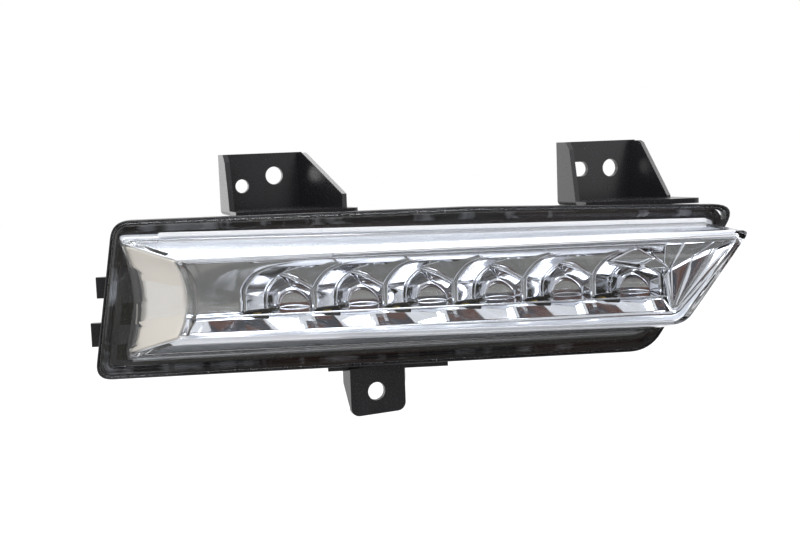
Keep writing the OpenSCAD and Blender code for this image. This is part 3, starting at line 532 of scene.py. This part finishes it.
mirror = {
    "cells": 6, "start": -14.6, "pitch": 31.8, "left": -42.0,
    "shelfTop": -60.0, "shelfFoot": -60.8, "front": -12.0,
    # edges of one cell: share of its width, depth and height over the shelf
    "outer": [(0.0, -6.5, 0), (0.0, -6.5, 5), (0.0, -6.8, 10), (0.08, -7.6, 14.6), (0.22, -8.8, 18.8),
              (0.45, -10.0, 21.6), (0.8, -11.0, 23.3), (1.2, -11.8, 24.7)],
    "inner": [(0.30, 1.0, 0), (0.30, 1.0, 5), (0.33, 0.5, 9.5), (0.42, -1.5, 13.8), (0.55, -4.0, 17.2),
              (0.75, -7.0, 20.3), (1.0, -9.2, 22.4), (1.3, -11.6, 24.2)],
    "brow": [(0.55, -4.4, 16.9), (0.73, -6.6, 15.2), (0.9, -6.7, 12.2), (1.0, -6.5, 9.9)],
    "divider": [(1.0, -6.5, 7.0), (1.0, -6.5, 3.5), (1.0, -6.5, 0.0)],
    "scoopBack": 7.0,                    # depth of the pockets' rear wall
    "curveSteps": 34,
    # facets under the shelf in each cell: a grey one, a bright sloping one and a dark one turned aside, each
    # with its place along the cell, depth at the shelf, depth at the foot, and how far its foot leans along
    "facets": ((-0.6, -11.2, -11.8, 3.3), (10.5, -9.2, -12.0, 4.0), (23.0, -7.4, -12.0, 1.0)),
    "window": [(-47.0, -69.2), (180.4, -67.9), (208.0, -35.4), (-47.0, -34.6)],
    "windowRadii": [1.5, 3, 2.5, 1.5],
    # insets and depths of the window's rounded edge
    "windowEdge": ((0.35, -11.2), (0.1, -12.0), (-0.3, -12.3), (-0.9, -12.35), (-1.3, -12.1)),
    # height at the window's left end and slope of the lines along its upper and lower edge
    "topLine": (-34.6, -0.6 / 256.5), "footLine": (-69.2, 1.3 / 229.0),
    # the point end stands further forward: by how much, from which X, and over what length
    "forward": 6.5, "forwardFrom": 160.0, "forwardSpan": 42.0,
    "sheet": 0.9, "facetSheet": 0.6,     # walls
}
cellLefts = mirror["start"] + mirror["pitch"] * np.arange(mirror["cells"])
lastEnd = cellLefts[-1] + mirror["pitch"]


def heightOn(line, x):
    # height of a straight line along the window's edge at X
    height, slope = mirror[line]
    return height + slope * (x - mirror["window"][0][0])


def panel(a, b, c, d, bulge=0.12, steps=7):
    # four-cornered panel in lamp mm, bilinear between its corners and raised towards the front in its middle
    a, b, c, d = (np.asarray(point, float) for point in (a, b, c, d))
    u, v = np.meshgrid(np.linspace(0, 1, steps), np.linspace(0, 1, steps), indexing="ij")
    u, v = u[..., None], v[..., None]
    points = a * (1 - u) * (1 - v) + b * u * (1 - v) + c * u * v + d * (1 - u) * v
    points[..., 1] -= bulge * 16 * (u * (1 - u) * v * (1 - v))[..., 0]
    return points


def smoothCurve(points, count):
    # Catmull-Rom curve: a cubic between neighbouring points, with the slope of the chord past each point
    points = np.asarray(points, float)
    points = np.vstack([2 * points[0] - points[1], points, 2 * points[-1] - points[-2]])
    t = np.linspace(0, len(points) - 3 - 1e-9, count)
    i = t.astype(int)
    f = (t - i)[:, None]
    a, b, c, d = points[i], points[i + 1], points[i + 2], points[i + 3]
    return 0.5 * (2 * b + (c - a) * f + (2 * a - 5 * b + 4 * c - d) * f ** 2
                  + (3 * b - a - 3 * c + d) * f ** 3)


def spreadEvenly(points, count):
    # the same line with another number of points, straight between the old ones
    t, whole = np.linspace(0, 1, count), np.linspace(0, 1, len(points))
    return np.stack([np.interp(t, whole, points[:, k]) for k in range(3)], 1)


def inCell(left, points):
    # share of width, depth and height over the shelf to lamp mm
    points = np.asarray(points, float)
    x, z = left + points[..., 0] * mirror["pitch"], mirror["shelfTop"] + points[..., 2]
    return np.stack([x, points[..., 1], z], -1)


def between(first, last, steps, sag=0.0):
    # surface ruled from one curve to another, sunk backwards in its middle by a parabola
    w = np.linspace(0, 1, steps)[:, None, None]
    surface = first * (1 - w) + last * w
    surface[..., 1] += sag * 4 * (w * (1 - w))[..., 0]
    return surface


def broughtForward(points):
    # the point end moves forward by a smooth step along X, to stay inside the lens's slanting end wall
    share = np.clip((points[..., 0] - mirror["forwardFrom"]) / mirror["forwardSpan"], 0, 1)
    moved = np.array(points, float)
    moved[..., 1] -= mirror["forward"] * share * share * (3 - 2 * share)
    return moved


outerCurve = smoothCurve(mirror["outer"], mirror["curveSteps"])
innerCurve = smoothCurve(mirror["inner"], mirror["curveSteps"])


def bell(left):
    # concave flank of a cell: it stands beside the LED, then sweeps up and over the next cell as a band
    return inCell(left, between(outerCurve, innerCurve, 9, 0.6))


def web(left):
    # slightly sloping field between this cell's brow, the next cell's flank and the band above
    nextFlank = outerCurve[10:24] + np.array([1.0, 0.0, 0.0])
    lower = np.vstack([smoothCurve(mirror["brow"], 12), nextFlank])
    return inCell(left, between(spreadEvenly(innerCurve[19:], 26), spreadEvenly(lower, 26), 8, 0.25))


def scoop(left):
    # Deep pocket: its mouth runs up the flank, along the brow and down to the shelf, and each mouth point is
    # drawn to the edge of a flat rear wall while the depth grows as a power of a sine. That edge is an arch,
    # a power of a sine less a slope, and the wall is ruled from it to the shelf.
    mouth = np.vstack([innerCurve[:20], smoothCurve(mirror["brow"], 12), mirror["divider"]])
    t = np.linspace(0, 1, len(mouth))[:, None]
    arch = 9.5 * np.sin(np.pi * t) ** 0.45 - 3.0 * t
    rear = np.hstack([0.50 + 0.46 * t, np.full_like(t, mirror["scoopBack"]), np.maximum(arch, 0)])
    v = np.linspace(0, 1, 12)[:, None, None]
    pocket = mouth + (rear - mouth) * v
    pocket[..., 1] = mouth[:, 1] + (mirror["scoopBack"] - mouth[:, 1]) * np.sin(v[..., 0] * np.pi / 2) ** 0.8
    floor = rear * np.array([1.0, 1.0, 0.0])
    return [inCell(left, pocket), inCell(left, between(rear, floor, 6))]


def lowerFacets():
    # strip of flat facets in one sheet under the shelf: both of its edges are cut into equal steps between
    # the facets' corners, then ruled
    low = mirror["shelfFoot"]
    tops = [(mirror["left"], -8.5, low), (-29, -9.5, low)]
    feet = [(mirror["left"], -12, -69.1), (-26, -12, -69.0)]
    for left in cellLefts:
        for place, topDepth, footDepth, lean in mirror["facets"]:
            tops.append((left + place, topDepth, low))
            feet.append((left + place + lean, footDepth, heightOn("footLine", left + place) - 0.3))
    tops.append((lastEnd - 0.6, -11.2, low))
    feet.append((lastEnd + 2.7, -11.8, heightOn("footLine", lastEnd) - 0.3))
    count = (len(tops) - 1) * 6 + 1
    top, foot = (spreadEvenly(np.array(edge, float), count) for edge in (tops, feet))
    addPiece("lowerFacets", [(between(top, foot, 6), {})], [chrome], 3,
             replaces=["reflector"], solid=mirror["facetSheet"])


fan = {
    # places in lamp mm: the lower corner that the folds run into, and where each fold starts, from the last
    # cell along the top to the point and down the sloping edge
    "corner": (179.4, -11.6, -67.4),
    "heel": (lastEnd, -8.6, -49.6), "fold": (lastEnd + 2.4, -10.6, -47.2),
    "ridge": (188.5, -10.0, -42.0), "valley": (197.0, -11.2, -38.6),
    "outside": ((201.2, -9.6, -36.6), (207.6, -12.0, -35.5), (196.4, -10.8, -49.0),
                (189.2, -11.3, -57.4), (181.0, -12.0, -67.4)),
}


def pointFan():
    # folds at the pointed end, panels that all run into its lower corner, and the grounds round them
    tip = np.array(fan["corner"])
    heel, fold, ridge, valley = (fan[key] for key in ("heel", "fold", "ridge", "valley"))
    rays = np.array([heel, fold, ridge, valley, *fan["outside"]])
    sheets = [panel(near, tip + (near - tip) * 0.02, tip + (far - tip) * 0.02, far, 0.25, 9)
              for near, far in zip(rays[:-1], rays[1:])]
    # side of the fan towards the last cell
    sheets.append(panel((lastEnd, -7.5, mirror["shelfTop"]), heel, tip + (0.2, 0, 0.3), tip, 0.1))
    # ground between the last web, the fan's upper edge and the window's upper edge
    sheets.append(panel((lastEnd, -12.0, -35.1), heel, fold, (184.0, -12.0, -35.2), 0.1))
    sheets.append(panel((184.0, -12.0, -35.2), fold, ridge, (197.5, -12.0, -35.2), 0.1))
    sheets.append(panel((197.5, -12.0, -35.2), ridge, valley, (207.6, -12.0, -35.45), 0.15))
    # backing behind the slit between the last web and that ground
    sheets.append(panel((lastEnd - 6, -8.4, -39.6), (lastEnd - 1, -7.4, -48.0),
                        (lastEnd + 6, -7.4, -48.0), (lastEnd + 6, -8.4, -39.6), 0.0))
    # chrome wedge that closes the last scoop, a kite with a small face turned under it
    left, right, under = (151.5, -8.0, -43.8), (165.3, -9.0, -46.2), (166.5, -10.6, -47.4)
    sheets.append(panel(left, (163.7, -12.4, -37.0), (171.1, -12.6, -42.4), right, 0.3))
    sheets.append(panel(right, (171.1, -12.6, -42.4), (178.6, -11.0, -47.3), under, 0.1))
    sheets.append(panel(left, right, under, (151.7, -8.6, -45.0), 0.05))
    # floor below the shelf at the right end
    foot = heightOn("footLine", lastEnd)
    sheets.append(panel((lastEnd - 1, -8.0, mirror["shelfFoot"]), (lastEnd + 2.2, -12, foot),
                        (181.0, -12, -68.0), tip, 0.1))
    return sheets


def metallisedReflector():
    # one sheet: the cells, the panels beside and over them, the fan, and the window's rounded edge
    sheets = []
    for left in cellLefts:
        sheets += [bell(left), web(left)] + scoop(left)
    # panel beside the first cell, ruled up to its flank
    count, first = mirror["curveSteps"], cellLefts[0]
    edge = np.stack([np.full(count, mirror["left"]), np.linspace(-8.8, -9.8, count),
                     np.linspace(mirror["shelfTop"], -34.6, count)], 1)
    sheets.append(between(edge, inCell(first, outerCurve), 14, -0.15))
    # sloping land along the window's upper edge
    land = np.linspace(first + 4, lastEnd + 4, 40)
    upper = np.stack([land, np.full(40, mirror["front"]), heightOn("topLine", land) - 0.1], 1)
    lower = np.stack([land, np.full(40, -8.6), heightOn("topLine", land) - 5.0], 1)
    sheets.append(between(upper, lower, 5))
    sheets += pointFan()
    rings = [ringAt(outline(mirror["window"], mirror["windowRadii"], inset), depth)
             for inset, depth in mirror["windowEdge"]]
    sheets.append(np.stack(rings)[:, openColumns])
    addPiece("metallisedReflector", [(broughtForward(sheet), {}) for sheet in sheets], [chrome], 24,
             replaces=["reflector"], solid=mirror["sheet"])


lowerFacets()
metallisedReflector()

brightRim = {
    "thickness": 0.5, "windowInset": -0.9, "windowDepth": -12.35,
    "crest": (-19.7, 2.0), "shoulder": (-19.3, 1.95),            # depth and inset in the lens box
    # the skirt's depths, the same further forward at the point, its inset and the ledge's rings behind it
    "skirt": ((-14.0, -17.0), (-10.0, -13.0), (-5.0, -8.0), (0.0, -3.0)), "skirtInset": 2.2, "blend": 30.0,
    "ledge": ((2.6, 2.4), (3.2, 2.2), (3.4, 1.6), (3.4, -1.6)),
}


def paintedHighlightFrame():
    # Frame round the window in a nearly white satin, a painted highlight for the bright bands round the
    # lens's
    # edges: a bevel runs forward from the window's edge to the lens's front corner, and a skirt follows the
    # lens box back to the flange. The skirt's rings blend from deep ones to ones further forward at the
    # point, a ledge closes it behind, and the end cover's side stays open.
    window = outline(mirror["window"], mirror["windowRadii"], brightRim["windowInset"])
    edge = broughtForward(ringAt(window, brightRim["windowDepth"]))
    depth, inset = brightRim["crest"]
    crest = boxRing(depth, inset, depth)
    rings = [edge + (crest - edge) * share for share in (0.0, 0.3, 0.6, 0.9, 1.0)]
    depth, inset = brightRim["shoulder"]
    rings.append(boxRing(depth, inset, depth))
    for deep, near in brightRim["skirt"]:
        ring, ahead = (boxRing(depth, brightRim["skirtInset"], depth) for depth in (deep, near))
        share = np.clip((ring[:, :1] - mirror["forwardFrom"]) / brightRim["blend"], 0, 1)
        rings.append(ring * (1 - share) + ahead * share)
    rings += [boxRing(depth, inset, 0.0) for depth, inset in brightRim["ledge"]]
    addPiece("paintedHighlightFrame", [(np.stack(rings)[:, openColumns], {})], [paintedHighlightSatin], 35,
             replaces=["reflector"], solid=brightRim["thickness"])


paintedHighlightFrame()

shelf = {
    "thickness": 0.7, "rounding": 0.18, "right": 179.0, "back": 9.9,
    # window over each LED: its start and length along the cell, front and back
    "ledFrom": 0.2, "ledLength": 11.5, "ledFront": -11.0, "ledBack": 4.6,
    "wellDepths": (0.15, 1.3, 1.96), "wellSheet": 0.08,         # under the shelf
    "bead": 0.22,                                               # radius of the beads along the brows
}


def reflectorShelf():
    # level plate between scoops and facets: a grid of columns and rows without the faces over the LEDs
    start, end = shelf["ledFrom"], shelf["ledLength"]
    columns = [mirror["left"], -30.0]
    for left in cellLefts:
        columns += [left, left + start, left + end, left + 20.0]
    columns = np.array(columns + [lastEnd, shelf["right"]])
    front = mirror["front"]
    rows = np.array([front + 0.2, front + 0.6, shelf["ledFront"], shelf["ledBack"], shelf["back"]])
    x, y = np.meshgrid(columns, rows, indexing="ij")
    points = np.stack([x, y, np.full_like(x, mirror["shelfTop"])], -1)
    index = np.arange(x.size).reshape(x.shape)
    quads = np.stack([index[:-1, :-1], index[1:, :-1], index[1:, 1:], index[:-1, 1:]], -1)
    middle = (columns[:-1] + columns[1:])[:, None] / 2
    overLed = ((middle > cellLefts + start) & (middle < cellLefts + end)).any(1)[:, None]
    kept = quads[~(overLed & (np.arange(len(rows) - 1) == 2))]
    mesh = bpy.data.meshes.new("reflectorShelf")
    mesh.from_pydata(fromLamp(points.reshape(-1, 3)).tolist(), [], kept.tolist())
    mesh.materials.append(chrome)
    piece = bpy.data.objects.new("reflectorShelf", mesh)
    bpy.context.scene.collection.objects.link(piece)
    wall = piece.modifiers.new("wall", "SOLIDIFY")
    wall.thickness, wall.offset = shelf["thickness"] / 1000, -1.0
    rounding = piece.modifiers.new("rounding", "BEVEL")
    rounding.width, rounding.segments = shelf["rounding"] / 1000, 2
    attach(piece, "root")
    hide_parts("reflector")


def ledShadeWells():
    # painted shade: near-black matt well under each shelf window, down to the board: rectangles joined
    # downwards
    parts = []
    for left in cellLefts:
        x0, x1 = left + shelf["ledFrom"] - 0.1, left + shelf["ledLength"] + 0.1
        y0, y1 = shelf["ledFront"] - 0.1, shelf["ledBack"] + 0.1
        corners = np.array([[x0, y0], [x1, y0], [x1, y1], [x0, y1]])
        rings = [np.column_stack([corners, np.full(4, mirror["shelfTop"] - depth)])
                 for depth in shelf["wellDepths"]]
        parts.append((np.stack(rings), {"closed": True, "capLast": True}))
    addPiece("ledShadeWells", parts, [paintedShadeWell], 30, solid=shelf["wellSheet"])


def browBead(left):
    # thin raised bead along the brow and down the divider: an oval section, thin at its start, along a line
    path = np.vstack([smoothCurve(mirror["brow"], 20), [(1.0, -6.5, 6.0), (1.0, -6.5, 0.2)]])
    path = inCell(left, path)
    tangent = np.gradient(path[:, [0, 2]], axis=0)
    tangent /= np.linalg.norm(tangent, axis=1)[:, None]
    across = np.stack([-tangent[:, 1], tangent[:, 0]], 1)
    turn = np.linspace(0, 2 * np.pi, 9)[:-1]
    radius = shelf["bead"] * np.clip(np.arange(len(path)) / 6, 0.15, 1)[:, None]
    x = path[:, :1] + radius * np.cos(turn) * across[:, :1]
    y = path[:, 1:2] - 0.1 + radius * 1.4 * np.sin(turn)
    z = path[:, 2:] + radius * np.cos(turn) * across[:, 1:]
    return np.stack([x, y, z], -1)


reflectorShelf()
ledShadeWells()
beads = [(browBead(left), {"closed": True, "capFirst": True, "capLast": True}) for left in cellLefts]
# the beads' near-white finish is a painted highlight along the brows and dividers
addPiece("browBeads", beads, [paintedHighlightBead], 50)
print("reflector built")


# Camera at the photograph's viewpoint

view = {
    "place": (-0.162, -0.5602, 0.0146), "yaw": 22.0, "pitch": 6.0, "roll": 2.1,     # m and degrees
    "lens": 54.0, "sensor": 36.0, "nearest": 0.01,                                  # mm, mm and m
}


def aimCamera():
    # axes from yaw, then pitch downwards, then roll about the line of sight
    yaw, pitch, roll = (math.radians(view[key]) for key in ("yaw", "pitch", "roll"))
    forward = np.array([math.sin(yaw) * math.cos(pitch), math.cos(yaw) * math.cos(pitch), -math.sin(pitch)])
    level = np.array([math.cos(yaw), -math.sin(yaw), 0.0])
    upright = np.cross(level, forward)
    right = math.cos(roll) * level - math.sin(roll) * upright
    up = math.sin(roll) * level + math.cos(roll) * upright
    cameraData = bpy.data.cameras.new("photoView")
    cameraData.lens, cameraData.sensor_width = view["lens"], view["sensor"]
    cameraData.clip_start = view["nearest"]
    camera = bpy.data.objects.new("photoView", cameraData)
    turn = np.eye(4)
    turn[:3, 0], turn[:3, 1], turn[:3, 2], turn[:3, 3] = right, up, -forward, view["place"]
    camera.matrix_world = Matrix(turn.tolist())
    bpy.context.scene.collection.objects.link(camera)
    bpy.context.scene.camera = camera


aimCamera()
print("camera aimed")


# Studio

studio = {
    "white": "#ffffff", "floorTone": "#f1f1f2", "floorLevel": -0.19, "floorReach": 3.0,
    "floorGlow": 1.12, "glowShare": 0.84,       # strength of the floor's white, and its part in what is seen
    "roomTone": "#f4f5f7", "room": 0.55,        # strength of the world on the object
    "softboxes": [
        # place, target, size in m, watts
        ((-0.5, -0.9, 1.1), (0.05, -0.05, -0.05), (1.2, 0.8), 16.0),
        ((1.0, -0.5, 0.7), (0.05, -0.05, -0.05), (0.8, 0.8), 6.0),
        ((0.0, 0.7, 0.9), (0.05, -0.05, -0.05), (1.4, 0.5), 9.0),
        ((-0.55, 1.0, 0.05), (0.05, -0.02, 0.0), (0.9, 0.7), 1.7),
    ],
    "cards": {
        # corner, two sides, two tones, patch size in m
        "frontCard": ((-1.6, -1.5, -0.18), (2.0, 0.0, 0.0), (0.0, 0.0, 0.9), ("#6a4d45", "#484a51"), 0.35),
        "tableCard": ((-1.5, -1.5, -0.185), (2.1, 0.0, 0.0), (0.0, 1.38, 0.0), ("#7d7c77", "#99978f"), 0.3),
    },
}


def softLights():
    # large area lamps, each turned so that its -Z points at its target
    for number, (place, target, size, watts) in enumerate(studio["softboxes"]):
        lampData = bpy.data.lights.new(f"softbox{number}", "AREA")
        lampData.shape, lampData.energy = "RECTANGLE", watts
        lampData.size, lampData.size_y = size
        softbox = bpy.data.objects.new(f"softbox{number}", lampData)
        softbox.location = place
        softbox.rotation_euler = (Vector(target) - Vector(place)).to_track_quat("-Z", "Y").to_euler()
        softbox.visible_camera = False
        bpy.context.scene.collection.objects.link(softbox)


def seenBackground(tree):
    # 1 for rays from the camera, through clear parts and off mirrors, which see a white background, else 0
    path = addNode(tree, "ShaderNodeLightPath")
    seen = addNode(tree, "ShaderNodeMath", {"operation": "MAXIMUM"},
                   {0: path.outputs["Is Camera Ray"], 1: path.outputs["Is Transmission Ray"]})
    return addNode(tree, "ShaderNodeMath", {"operation": "MAXIMUM"},
                   {0: seen.outputs[0], 1: path.outputs["Is Glossy Ray"]})


def studioRoom():
    world = bpy.data.worlds.new("studioRoom")
    bpy.context.scene.world = world
    world.use_nodes = True
    tree = world.node_tree
    tree.nodes.clear()
    room = addNode(tree, "ShaderNodeBackground",
                   {"Color": linear(studio["roomTone"]), "Strength": studio["room"]})
    white = addNode(tree, "ShaderNodeBackground", {"Color": linear(studio["white"]), "Strength": 1.0})
    mixed = addNode(tree, "ShaderNodeMixShader", links={0: seenBackground(tree).outputs[0]})
    tree.links.new(room.outputs[0], mixed.inputs[1])
    tree.links.new(white.outputs[0], mixed.inputs[2])
    addNode(tree, "ShaderNodeOutputWorld", links={"Surface": mixed.outputs[0]})


def flatSheet(name, points, material):
    # a grid of points in m (rows, columns, 3), joined into four-sided faces
    rows, columns = points.shape[:2]
    index = np.arange(rows * columns).reshape(rows, columns)
    quads = np.stack([index[:-1, :-1], index[:-1, 1:], index[1:, 1:], index[1:, :-1]], -1).reshape(-1, 4)
    mesh = bpy.data.meshes.new(name)
    mesh.from_pydata(points.reshape(-1, 3).tolist(), [], quads.tolist())
    mesh.materials.append(material)
    sheet = bpy.data.objects.new(name, mesh)
    bpy.context.scene.collection.objects.link(sheet)
    return sheet


def stageFloor():
    # White paper: diffuse, so that the lamp shades it, mixed with a plain white where the background is seen
    material, tree = newMaterial("paperSweep")
    paper = addNode(tree, "ShaderNodeBsdfDiffuse", {"Color": linear(studio["floorTone"])})
    glow = addNode(tree, "ShaderNodeEmission",
                   {"Color": linear(studio["white"]), "Strength": studio["floorGlow"]})
    share = addNode(tree, "ShaderNodeMath", {"operation": "MULTIPLY", 1: studio["glowShare"]},
                    {0: seenBackground(tree).outputs[0]})
    both = addNode(tree, "ShaderNodeMixShader", links={0: share.outputs[0]})
    tree.links.new(paper.outputs[0], both.inputs[1])
    tree.links.new(glow.outputs[0], both.inputs[2])
    finishMaterial(tree, both.outputs["Shader"])
    span = np.linspace(-studio["floorReach"], studio["floorReach"], 9)
    x, y = np.meshgrid(span, span)
    floor = flatSheet("paperFloor", np.stack([x, y, np.full_like(x, studio["floorLevel"])], -1), material)


def mirrorCard(name, corner, sideA, sideB, tones, spot):
    # a matt card beside the set that only mirrors and clear parts see, in two tones that run into each other
    material, tree = newMaterial(name)
    place = addNode(tree, "ShaderNodeTexCoord").outputs["Object"]
    patch = addNode(tree, "ShaderNodeTexNoise", {"Scale": 1 / spot, "Detail": 1.0}, {"Vector": place})
    edge = addNode(tree, "ShaderNodeMapRange", {"From Min": 0.44, "From Max": 0.56},
                   {"Value": patch.outputs["Fac"]})
    tint = addNode(tree, "ShaderNodeMix", {"data_type": "RGBA", 6: linear(tones[0]), 7: linear(tones[1])},
                   {0: edge.outputs["Result"]})
    glow = addNode(tree, "ShaderNodeEmission", {"Strength": 1.0}, {"Color": tint.outputs[2]})
    finishMaterial(tree, glow.outputs[0])
    a, b = np.meshgrid(np.linspace(0, 1, 3), np.linspace(0, 1, 3), indexing="ij")
    points = np.array(corner) + a[..., None] * np.array(sideA) + b[..., None] * np.array(sideB)
    card = flatSheet(name, points, material)
    card.visible_camera = card.visible_diffuse = card.visible_shadow = False


softLights()
studioRoom()
stageFloor()
for name, settings in studio["cards"].items():
    mirrorCard(name, *settings)
bpy.context.scene.view_settings.view_transform = "Standard"
print("studio set")
